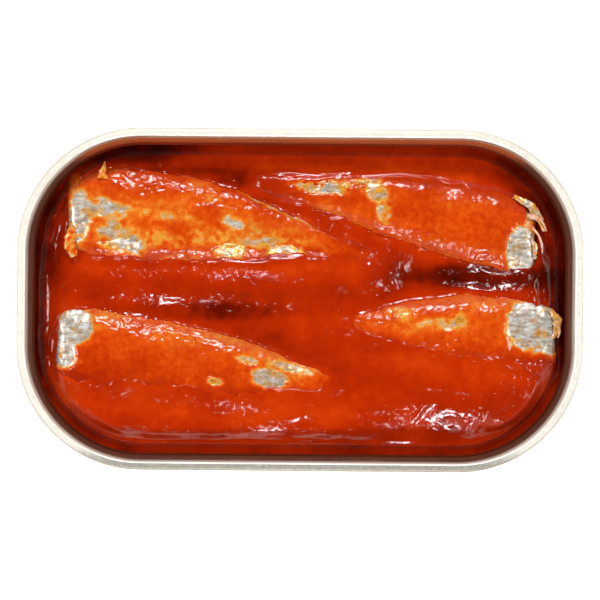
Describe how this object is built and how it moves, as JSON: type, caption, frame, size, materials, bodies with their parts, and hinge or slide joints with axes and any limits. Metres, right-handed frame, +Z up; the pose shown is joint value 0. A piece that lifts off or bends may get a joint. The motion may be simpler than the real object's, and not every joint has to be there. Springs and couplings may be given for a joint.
{
  "type": "opened sardine tin",
  "caption": "Opened flat fish tin with rounded corners: seamed rim, tomato sauce and headless sardines lying head to tail.",
  "frame": {"origin": "centre of the tin's base, on the plane of its standing ring", "axes": "+Z up through the open top, +X along the tin's length, +Y across it towards its back wall"},
  "size_m": [0.11, 0.0666, 0.025],
  "materials": {
    "tinplate": "drawn tinplate, bright outside, gold lacquer inside",
    "seam_tinplate": "rolled seam, satin, warm white",
    "tomato_sauce": "wet, oily tomato sauce",
    "sardine_skin_back_left": "wet silver skin under sauce",
    "sardine_skin_back_right": "wet silver skin under sauce",
    "sardine_skin_front_left": "wet silver skin under sauce",
    "sardine_skin_front_right": "wet silver skin under sauce"
  },
  "bodies": {
    "root": {"tin_body": "tinplate", "lid_ring": "seam_tinplate", "sauce": "tomato_sauce", "sardine_back_left": "sardine_skin_back_left", "sardine_back_right": "sardine_skin_back_right", "sardine_front_left": "sardine_skin_front_left", "sardine_front_right": "sardine_skin_front_right"}
  },
  "joints": []
}
